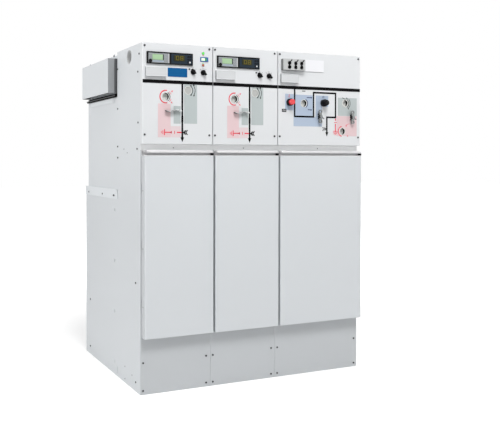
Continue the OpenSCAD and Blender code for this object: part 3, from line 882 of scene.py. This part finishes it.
class SWITCHGEAR_OT_fields(bpy.types.Operator):
    """Prints the tinted fields behind the switches"""
    bl_idname = "switchgear.fields"
    bl_label = "Tinted fields"

    def execute(self, context):
        d = diagram()
        pink, grey, blue = (ink("earthing field", d.pink_colour), ink("switch field", d.grey_colour),
                            ink("breaker field", d.blue_colour))
        board = finish_settings().board_colour
        pale = ink("pale earthing field", [v + (w - v) * 0.3 for v, w in zip(d.pink_colour, board)])
        deep = ink("deep switch field", shaded(d.grey_colour, 0.98))
        for feeder in RING_FEEDERS:
            draw(feeder, f"Pink_field_{feeder}", pink, (film, 66, 239, 121, 373))
            draw(feeder, f"Pale_pink_field_{feeder}", pale, (film, 121, 328, 165, 373))
            field = pierce(film(feeder, 180, 160, 238, 317), feeder, SWITCH_SOCKET, SOCKET_RADIUS)
            printed([field], f"Grey_field_{feeder}", grey)
            draw(feeder, f"Grey_step_{feeder}", deep, (film, 134, 247, 165, 318))
        blues = ((36, 180, 79, 250), (79, 182, 181, 318), (181, 276, 192, 318), (192, 182, 213, 318),
                 (213, 182, 258, 230), (213, 230, 226, 318))
        spring, switch, earthing = WIDE_SOCKETS
        films = [film(3, *box) for box in blues]
        pierce(films[1], 3, spring, SOCKET_RADIUS)
        pierce(films[0], 3, BUTTON_PLACES[0], BUTTON_HOLE)
        pierce(films[4], 3, BUTTON_PLACES[1], BUTTON_HOLE)
        printed(films, "Blue_fields", blue)
        printed([pierce(film(3, 310, 188, 412, 268), 3, switch, SOCKET_RADIUS)], "Grey_field_3", grey)
        field = pierce(film(3, 303, 269, 412, 358), 3, earthing, SOCKET_RADIUS)
        printed([field, film(3, 284, 332, 303, 352)], "Pink_field_3", pink)
        return {"FINISHED"}


class SWITCHGEAR_OT_earthing_signs(bpy.types.Operator):
    """Prints the red earthing signs and the black signs of the voltage taps"""
    bl_idname = "switchgear.earthing_signs"
    bl_label = "Earthing signs"

    def execute(self, context):
        red, black, soft = earthing_red(), line_black(), ink("soft red", (0.78, 0.20, 0.24))
        row = EARTHING_ROW
        for f in RING_FEEDERS:
            draw(f, f"Earthing_sign_{f}", red,
                 (arc, EARTH_SOCKET, 25, 4.2, 78, 208), (bar, 148, row, 170, row, 5),
                 (bar, 138, row - 6, 138, row + 6, 3), (bar, 96, row, 126, row, 4), (point, 123, row, 8, 12, 180),
                 (bar, 94, row - 12, 94, row + 12, 4), (bar, 87, row - 7.5, 87, row + 7.5, 3),
                 (bar, 80.5, row - 4.5, 80.5, row + 4.5, 2.4))
            draw(f, f"Earthing_travel_{f}", soft,
                 (arc, EARTH_SOCKET, 25, 2.4, -52, 30), (arc, EARTH_SOCKET, 25, 2.4, 22, 30),
                 (point, 127, 189, 9, 8, 40), (point, 125, 234, 9, 8, -40))
            # A black arc printed right of each earth socket, standing in for the dark crescent of its bore: painted
            # shade
            draw(f, f"Earth_socket_shade_arc_{f}", black, (arc, EARTH_SOCKET, 18.6, 2.2, -62, 124))
            draw(f, f"Voltage_tap_sign_{f}", black,
                 (bar, 174, row, 184, row, 4), (bar, 182, row, 188, row - 9, 4), (bar, 182, row, 188, row + 9, 4),
                 (bar, 188, row, 195, row - 10, 4), (bar, 188, row, 195, row + 10, 4),
                 (bar, 180, row - 8, 180, row + 8, 3.2))
        x = 297
        draw(3, "Earthing_sign_3", red,
             (bar, x, 281, x, 291, 5), (bar, x - 7, 298, x + 7, 298, 3), (bar, x, 304, x, 338, 4.4),
             (bar, x - 12, 340, x + 12, 340, 3.4), (bar, x - 8, 346.5, x + 8, 346.5, 2.6),
             (bar, x - 4, 352.5, x + 4, 352.5, 2.4), (arc, WIDE_SOCKETS[2], 22.5, 3.4, 100, 160))
        draw(3, "Voltage_tap_sign_3", black,
             (bar, 228, 320, 234, 328, 2.6), (bar, 228, 336, 234, 328, 2.6), (bar, 235, 320, 241, 328, 2.6),
             (bar, 235, 336, 241, 328, 2.6), (bar, 241, 328, 248, 328, 3), (bar, 244, 322, 244, 334, 2.2))
        draw(3, "Earthing_travel_3", soft, (point, 355, 312, 9, 8, 60), (point, 362, 357, 8, 8, -60),
             (bar, 352, 309, 372, 302, 2.2))
        return {"FINISHED"}


class SWITCHGEAR_OT_switch_signs(bpy.types.Operator):
    """Prints the travel arcs of the switches and the small marks of the push buttons"""
    bl_idname = "switchgear.switch_signs"
    bl_label = "Switch signs"

    def execute(self, context):
        blue = ink("deep blue", (0.02, 0.035, 0.12))
        x, drop = SWITCH_SOCKET
        for f in RING_FEEDERS:
            draw(f, f"Switch_travel_{f}", line_black(),
                 (arc, SWITCH_SOCKET, 20.5, 2.6, -48, 100), (arc, SWITCH_SOCKET, 31, 2.2, -38, 82),
                 (point, x + 12, drop - 19, 9, 7, 150), (point, x + 13, drop + 18, 8, 7, 215),
                 (point, x + 25, drop - 23, 9, 8, 100), (point, x + 26, drop + 20, 8, 7, 260),
                 (bar, x + 30, drop - 26, x + 39, drop - 27, 2.4))
        spring, switch, _ = WIDE_SOCKETS
        draw(3, "Spring_travel_sign", blue,
             (bar, 146, 193, 168, 193, 3.6), (point, 170, 193, 7, 8, 0), (bar, 152, 245, 166, 246, 3.4),
             (point, 169, 246, 7, 8, 0), (arc, spring, 19.5, 3.6, -62, 124))
        draw(3, "Switch_travel_3", line_black(),
             (arc, switch, 19.5, 2.8, -58, 116), (arc, switch, 27, 2.4, -46, 92), (bar, 333, 188, 350, 194, 2.6),
             (point, 358, 190, 8, 7, 120), (point, 366, 235, 8, 6, -80))
        draw(3, "Red_button_mark", earthing_red(), (bar, 58, 182, 54, 194, 2.2), (bar, 54, 194, 60, 194, 2.0))
        draw(3, "Black_button_mark", blue, (arc, (232, 188), 4, 1.6))
        draw(3, "Small_grey_mark", ink("mark grey", (0.25, 0.27, 0.27)), (film, 122, 163, 139, 168, 2))
        rim = inset_face(panel(3, (20, 245, 42, 258), 1.2, 1.4, 0.5), 1.2 * MM, 0.6 * MM)
        give(rim, "Counter_frame", black_plastic())
        zigzag = ((23, 254), (27, 248), (31, 254), (35, 248), (39, 254))
        draw(3, "Counter_zigzag", ink("white", (0.75, 0.76, 0.76)),
             *((bar, *a, *b, 1.2, 4) for a, b in zip(zigzag, zigzag[1:])))
        return {"FINISHED"}


# Instruments and operating elements

def digit(feeder, x, top, lit, width=13, height=17, line=2.2, out=6.9):
    """Seven-segment digit: lit names the segments, from the top clockwise and last the middle."""
    mid, right, bottom = top + height / 2, x + width, top + height
    bars = {"a": (x, top, right, top + line), "d": (x, bottom - line, right, bottom),
            "g": (x, mid - line / 2, right, mid + line / 2),
            "f": (x, top, x + line, mid), "e": (x, mid, x + line, bottom),
            "b": (right - line, top, right, mid), "c": (right - line, mid, right, bottom)}
    return join([panel(feeder, bars[k], out, 0.6, 0.15, 1) for k in lit])


class SWITCHGEAR_OT_relays(bpy.types.Operator):
    """Dresses the two instruments of each ring feeder: faces, displays, digits and keys"""
    bl_idname = "switchgear.relays"
    bl_label = "Instruments"

    def execute(self, context):
        grey = finish("Instrument grey", (0.30, 0.32, 0.33), 0.45, ripple=0.0004)
        navy = finish("Instrument navy", (0.016, 0.028, 0.042), 0.45, ripple=0.0004, specular=0.2)
        green = finish("Display green", (0.33, 0.50, 0.29), 0.22, coat=0.6, glow=0.12, height=0.02)
        smoke = finish("Display smoke", (0.035, 0.036, 0.014), 0.3, coat=0.1, height=0.02, specular=0.2)
        for n in RING_FEEDERS:
            dress(f"relay_pair_{n}", black_plastic(), edge=0.0005)
            for name, box, material, slot in (
                    ("Instrument_face", (24, 40, 113, 78.5), grey, "grey_plastic"),
                    ("Indicator_face", (122, 40, 212, 78.5), navy, "dark_paint")):
                give(panel(n, box, 4.6, 1.0, 0.4), f"{name}_{n}", material)
            for name, box, material, slot in (
                    ("Green_display", (40, 45.5, 85, 67), green, "grey_plastic"),
                    ("Smoked_display", (134, 44.5, 181, 68), smoke, "black_plastic")):
                glass = inset_face(panel(n, box, 6.5, 1.0, 0.5), 1.0 * MM, 0.3 * MM)
                give(glass, f"{name}_{n}", material)
            amber = finish("Digit amber", (0.17, 0.135, 0.015), 0.4, glow=0.05, specular=0.1)
            digits = [digit(n, 142, 47.5, "abcdef"), digit(n, 160, 47.5, "abcdefg")]
            give(join(digits), f"Amber_digits_{n}", amber)
            self.trim(n)
        return {"FINISHED"}

    def trim(self, n):
        """Pale edge, keys, light strip, service port and round key of a pair of instruments"""
        pale = finish("Key white", (0.66, 0.67, 0.68), 0.40)
        cap = finish("Key grey", (0.30, 0.32, 0.34), 0.40, ripple=0.0004)
        dark = finish("Key dark", (0.006, 0.007, 0.010), 0.4, ripple=0.0004, specular=0.15)
        give(panel(n, (109.5, 41, 113, 78), 5.0, 0.8, 0.3), f"Pale_edge_{n}", pale)
        keys = [plate(n, 29, 44 + 7.5 * k, 38, 49 + 7.5 * k, 5.5, 1.2) for k in range(3)]
        keys += [plate(n, 93 + 9 * a, 45 + 11 * b, 99.5 + 9 * a, 52 + 11 * b, 5.6, 1.0)
                 for a in range(2) for b in range(3)]
        give(soften(join(keys), 0.6 * MM), f"Grey_keys_{n}", cap)
        give(panel(n, (42, 69.5, 90, 75), 5.0, 0.8, 0.4), f"Light_strip_{n}",
             finish("Strip grey", (0.36, 0.43, 0.50), 0.4))
        port = inset_face(disc(n, 32, 72, 7.2, 7.2, 3.5, 0.8), 2.4 * MM, 1.5 * MM)
        give(port, f"Service_port_{n}", black_plastic())
        keys = [plate(n, 192.5 + 9 * a, 44.8 + 11 * b, 199.5 + 9 * a, 52.2 + 11 * b, 5.7, 1.0)
                for a in range(2) for b in range(3) if (a, b) != (1, 2)]
        give(soften(join(keys), 0.8 * MM), f"Dark_keys_{n}", dark)
        give(disc(n, 203.5, 71, 6.0, 3.6, 1.2, 0.6), f"White_key_{n}", pale)


class SWITCHGEAR_OT_signal_lamps(bpy.types.Operator):
    """Makes the blue rocker of the first feeder and the lamps above and below it"""
    bl_idname = "switchgear.signal_lamps"
    bl_label = "Signal lamps"

    def execute(self, context):
        rocker = inset_face(panel(1, (252, 45, 288, 64), 3.0, 3.4, 1.6, 3), 2.4 * MM, 0.8 * MM)
        give(rocker, "Blue_rocker", finish("Rocker blue", (0.012, 0.10, 0.34), 0.28, coat=0.4),
             replaces=("indicator_unit",))
        give(panel(1, (256.5, 49, 272, 60), 2.9, 1.2, 0.8, 3), "Pale_lens",
             finish("Lens pale", (0.72, 0.88, 0.62), 0.2, coat=0.7, glow=0.25))
        give(panel(1, (272.5, 49, 280, 60), 2.9, 1.2, 0.8, 3), "Green_lens",
             finish("Lens green", (0.03, 0.30, 0.06), 0.2, coat=0.7))
        for name, drop, colour, glow, dot_drop, dot_finish, dot_colour in (
                ("Green_lamp", 30, (0.06, 0.58, 0.05), 0.35, 38, "Lens amber", (0.55, 0.20, 0.06)),
                ("Red_lamp", 78, (0.36, 0.09, 0.035), 0.05, 70, "Lens pale green", (0.30, 0.75, 0.25))):
            give(disc(1, 265, drop, 3.0, 5.2, 3.2, 2.2, 4), name,
                 finish("Lens " + name, colour, 0.18, coat=0.8, glow=glow))
            give(disc(1, 265, dot_drop, 1.2, 2.6, 1.4, 0.5), name + "_dot",
                 finish(dot_finish, dot_colour, 0.3, glow=0.1))
            give(arc(1, (265, drop), 6.0, 1.4, out=1.2), name + "_ring", steel())
        return {"FINISHED"}


class SWITCHGEAR_OT_plates(bpy.types.Operator):
    """Makes the bare blue plate, the bare white plate and the cards of the label pockets"""
    bl_idname = "switchgear.plates"
    bl_label = "Plates and cards"

    def execute(self, context):
        blue = finish("Plate blue", (0.004, 0.098, 0.27), 0.40, drift=0.06, height=0.03, specular=0.15)
        card = finish("Label card", (0.62, 0.635, 0.645), 0.55, speck=0.05, height=0.04)
        white = finish("White plate", (0.82, 0.825, 0.85), 0.35, height=0.04)
        give(panel(1, (108, 95, 194, 131), 0.9, 1.1, 0.7), "Blue_plate", blue)
        for feeder in FEEDERS:
            piece = panel(feeder, (14.4, 99.4, 96.6, 129.6), 11.4, 0.6, 0.15, 1)
            give(piece, f"Label_card_{feeder}", card)
        give(panel(3, (127, 30, 232, 80), 3.6, 3.8, 0.5), "White_plate", white)
        return {"FINISHED"}


class SWITCHGEAR_OT_lever_sockets(bpy.types.Operator):
    """Finishes the lever sockets with dark walls and sets a pale ring round each"""
    bl_idname = "switchgear.lever_sockets"
    bl_label = "Lever sockets"

    def execute(self, context):
        sockets = [(f"{label}_socket_ring_{feeder}", feeder, place) for feeder in RING_FEEDERS
                   for label, place in (("Earth", EARTH_SOCKET), ("Switch", SWITCH_SOCKET))]
        sockets += [(f"Wide_socket_ring_{n}", 3, place) for n, place in enumerate(WIDE_SOCKETS, 1)]
        centres = [on_board(feeder, *place) for _, feeder, place in sockets]

        def off(c):
            """Distance from the middle of the nearest socket, in mm"""
            return min(math.hypot(c.x - p.x, c.z - p.z) for p in centres) / MM

        piece = dress("lever_sockets", finish("Socket disc", (0.86, 0.87, 0.83), 0.45, drift=0.1))
        drive, shutter = 12.5, 14
        tint(piece, dark_bore(), lambda c, n: abs(n.y) < 0.5 and off(c) > drive)
        tint(piece, finish("Drive end grey", (0.45, 0.46, 0.44), 0.45, drift=0.1),
             lambda c, n: abs(n.y) < 0.5 and off(c) < drive)
        tint(piece, finish("Shutter grey", (0.47, 0.475, 0.46), 0.45, drift=0.1),
             lambda c, n: n.y < -0.5 and c.y < board_face() + 2.5 * MM and off(c) < shutter)
        pale = finish("Socket ring", (0.66, 0.66, 0.63), 0.35, metallic=0.2)
        for name, feeder, place in sockets:
            give(arc(feeder, place, *SOCKET_RING, out=0.9), name, pale)
        return {"FINISHED"}


class SWITCHGEAR_OT_knobs(bpy.types.Operator):
    """Finishes the selector knobs and prints the ticks round them"""
    bl_idname = "switchgear.knobs"
    bl_label = "Selector knobs"

    def execute(self, context):
        grey = ink("tick grey", (0.22, 0.23, 0.24))
        near, far = 15, 20
        for n in range(4):
            feeder, (x, drop) = RING_FEEDERS[n // 2], KNOB_PLACES[n % 2]
            dress(f"selector_knob_{n + 1}", black_plastic(), edge=0.0010)
            rays = [(math.cos(math.radians(angle)), math.sin(math.radians(angle))) for angle in (45, 90, 135)]
            draw(feeder, f"Knob_ticks_{n + 1}", grey,
                 *((bar, x + near * c, drop - near * s, x + far * c, drop - far * s, 1.6) for c, s in rays))
        for feeder in RING_FEEDERS:
            plug = disc(feeder, 203, 97, 1.4, 3.2, 1.6, 0.5)
            give(plug, f"Black_plug_{feeder}", black_plastic())
        return {"FINISHED"}


class SWITCHGEAR_OT_push_buttons(bpy.types.Operator):
    """Finishes the push buttons and their collars"""
    bl_idname = "switchgear.push_buttons"
    bl_label = "Push buttons"

    def execute(self, context):
        red = finish("Button red", (0.80, 0.035, 0.045), 0.25, drift=0.05, coat=0.5, height=0.05)
        dress("red_push_button", red, edge=0.0005)
        dress("black_push_button", black_plastic(), edge=0.0005)
        dress("button_collars", black_plastic(), edge=0.0010)
        return {"FINISHED"}


class SWITCHGEAR_OT_gates(bpy.types.Operator):
    """Finishes the control gates and the locking devices in steel, with painted shade and painted highlights"""
    bl_idname = "switchgear.gates"
    bl_label = "Gates and locks"

    def execute(self, context):
        # The gates are dark over most of their length and near-white towards their right ends: painted shade and a
        # painted highlight on one steel part
        gates = dress("control_gates", finish("Gate steel darkened for shade", (0.045, 0.047, 0.047), 0.35, metallic=0.3), edge=0.0004)
        tint(gates, finish("Gate painted highlight", (0.86, 0.87, 0.87), 0.3, metallic=0.2),
             lambda c, n: any(0 < c.x - feeder_left(f) - 143 * MM < 30 * MM for f in RING_FEEDERS))
        # Faces of the locks that do not face the front get a much darker steel: painted shade
        locks = dress("locking_devices", steel("Lock steel", (0.20, 0.21, 0.21), 0.34), edge=0.0008)
        tint(locks, steel("Lock flank painted shade", (0.035, 0.038, 0.038), 0.35), lambda c, n: n.y > -0.5)
        return {"FINISHED"}


class SWITCHGEAR_OT_test_block(bpy.types.Operator):
    """Finishes the block of test sockets with its black key-shaped guards"""
    bl_idname = "switchgear.test_block"
    bl_label = "Test sockets"

    def execute(self, context):
        grey = finish("Block grey", (0.50, 0.51, 0.51), 0.5, drift=0.06, ripple=0.0006, height=0.2)
        flank = finish("Block flank painted shade", (0.15, 0.155, 0.155), 0.6, drift=0.1, speck=0.3, height=0.2)
        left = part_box("voltage_socket_block")[0].x
        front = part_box("test_inserts")[0].y
        # Left flank and underside of the test block get a dark grey: painted shade
        tint(dress("voltage_socket_block", grey, edge=0.0010), flank,
             lambda c, n: n.x < -0.9 and c.x < left + MM or n.z < -0.9)
        tint(dress("test_inserts", grey, edge=0.0003), dark_bore(), lambda c, n: c.y > front + MM)
        parts = []
        for x in TEST_COLUMNS:
            parts += [arc(3, (x, drop), 6.3, 3.4, out=18.6, deep=-17) for drop in (67, 50)]
            parts.append(panel(3, (x - 2.6, 56, x + 2.6, 61), 18.5, 1.5, 0.3))
            slant = bar(3, x + 3, 45, x + 12.5, 34.5, 4.4)
            slant.data.transform(Matrix.Translation((0, -18.4 * MM, 0)))
            parts.append(slant)
        give(join(parts), "Key_guards", black_plastic())
        return {"FINISHED"}


# Screws

def screw_head(radius, height, facing):
    """Round head with a recess, its back at the origin."""
    out = {"-Y": Vector((0, -1, 0)), "-X": Vector((-1, 0, 0)), "X": Vector((1, 0, 0))}[facing]
    deselect()
    bpy.ops.mesh.primitive_cylinder_add(
        vertices=20, radius=radius, depth=height, location=out * height / 2,
        rotation=out.to_track_quat("Z", "Y").to_euler())
    piece = soften(settle(), min(radius, height) * 0.3, 2)
    return inset_face(piece, radius * 0.34, height * 0.45, out)


def screws(name, places, radius, height, facing="-Y", material=None, body=BODY):
    """Like heads at several places, joined into one piece; radius and height in mm."""
    heads = copies(screw_head(radius * MM, height * MM, facing), places)
    give(heads, name, material or screw_steel(), body)


class SWITCHGEAR_OT_board_screws(bpy.types.Operator):
    """Sets the screws of the boards, the recessed strips and the plinth"""
    bl_idname = "switchgear.board_screws"
    bl_label = "Front screws"

    def execute(self, context):
        places = []
        for feeder in FEEDERS:
            right = feeder_width(feeder) - (11 if feeder == 3 else 17)
            places += [on_board(feeder, x, drop) for x in (9, right) for drop in (12, 363)]
        screws("Board_screws", places, 4.3, 2.4)
        left, face = feeder_left(1), plinth_face()
        columns = (10.7, 290, 321, 601, 631.6, 1034.6)
        screws("Plinth_screws", [Vector((left + x * MM, face, z * MM)) for x in columns for z in (128, 17)], 4.0, 2.4)
        # Countersunk, because the grip profiles slide past them when a cover is lifted
        places = [Vector((left + x * MM, face, 0.986)) for x in (143, 465, 838)]
        screws("Strip_screws", places, 2.6, 0.2, material=soft_steel())
        return {"FINISHED"}


class SWITCHGEAR_OT_side_screws(bpy.types.Operator):
    """Sets the screws of the side walls and the bolts of the cross rails"""
    bl_idname = "switchgear.side_screws"
    bl_label = "Side screws"

    def execute(self, context):
        # Places in mm behind the plinth's face and above the floor
        big = ((12, 1359), (26, 1289), (24, 1086), (35, 981), (52, 440), (52, 38), (268, 1326), (268, 1156),
               (268, 994), (268, 946), (666, 265), (666, 39))
        small = ((191, 982), (151, 966), (180, 69), (180, 17), (96, 55))
        rail = ((680, 782), (473, 782), (309, 782), (319, 782))
        for side, facing in (("left", "-X"), ("right", "X")):
            for label, node, sunk, places, radius, height in (
                    ("Side_screws", "side_wall", 0, big, 4.0, 2.4),
                    ("Side_pins", "side_wall", 0, small, 2.2, 1.2),
                    ("Rail_bolts", "cross_rail", 2, rail, 4.0, 1.9)):
                low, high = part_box(f"{node}_{side}")
                x = low.x if side == "left" else high.x - sunk * MM
                spots = [Vector((x, plinth_face() + y * MM, z * MM)) for y, z in places]
                screws(f"{label}_{side}", spots, radius, height, facing)
        return {"FINISHED"}


# Registration

SETTINGS = (FinishSettings, DiagramSettings, StudioSettings)
STEPS = (
    SWITCHGEAR_OT_stage, SWITCHGEAR_OT_housing, SWITCHGEAR_OT_tank, SWITCHGEAR_OT_boards,
    SWITCHGEAR_OT_covers, SWITCHGEAR_OT_fields, SWITCHGEAR_OT_lines, SWITCHGEAR_OT_earthing_signs,
    SWITCHGEAR_OT_switch_signs, SWITCHGEAR_OT_relays, SWITCHGEAR_OT_signal_lamps, SWITCHGEAR_OT_plates,
    SWITCHGEAR_OT_lever_sockets, SWITCHGEAR_OT_knobs, SWITCHGEAR_OT_push_buttons, SWITCHGEAR_OT_gates,
    SWITCHGEAR_OT_test_block, SWITCHGEAR_OT_board_screws, SWITCHGEAR_OT_side_screws,
)


class SWITCHGEAR_PT_panel(bpy.types.Panel):
    """Sidebar panel with the settings and the building steps"""
    bl_idname = "SWITCHGEAR_PT_panel"
    bl_label = "Switchgear block"
    bl_space_type = "VIEW_3D"
    bl_region_type = "UI"
    bl_category = "Switchgear"

    def draw(self, context):
        for group in (finish_settings(), diagram(), studio()):
            box = self.layout.box()
            for key in group.bl_rna.properties.keys():
                if key not in {"rna_type", "name"}:
                    box.prop(group, key)
        for step in STEPS:
            self.layout.operator(step.bl_idname)


def register():
    for item in SETTINGS + STEPS + (SWITCHGEAR_PT_panel,):
        bpy.utils.register_class(item)
    bpy.types.Scene.switchgear_finish = bpy.props.PointerProperty(type=FinishSettings)
    bpy.types.Scene.switchgear_diagram = bpy.props.PointerProperty(type=DiagramSettings)
    bpy.types.Scene.switchgear_studio = bpy.props.PointerProperty(type=StudioSettings)


def unregister():
    del bpy.types.Scene.switchgear_studio
    del bpy.types.Scene.switchgear_diagram
    del bpy.types.Scene.switchgear_finish
    for item in reversed(SETTINGS + STEPS + (SWITCHGEAR_PT_panel,)):
        bpy.utils.unregister_class(item)


def main():
    register()
    for step in STEPS:
        group, name = step.bl_idname.split(".")
        getattr(getattr(bpy.ops, group), name)()


if __name__ == "__main__":
    main()
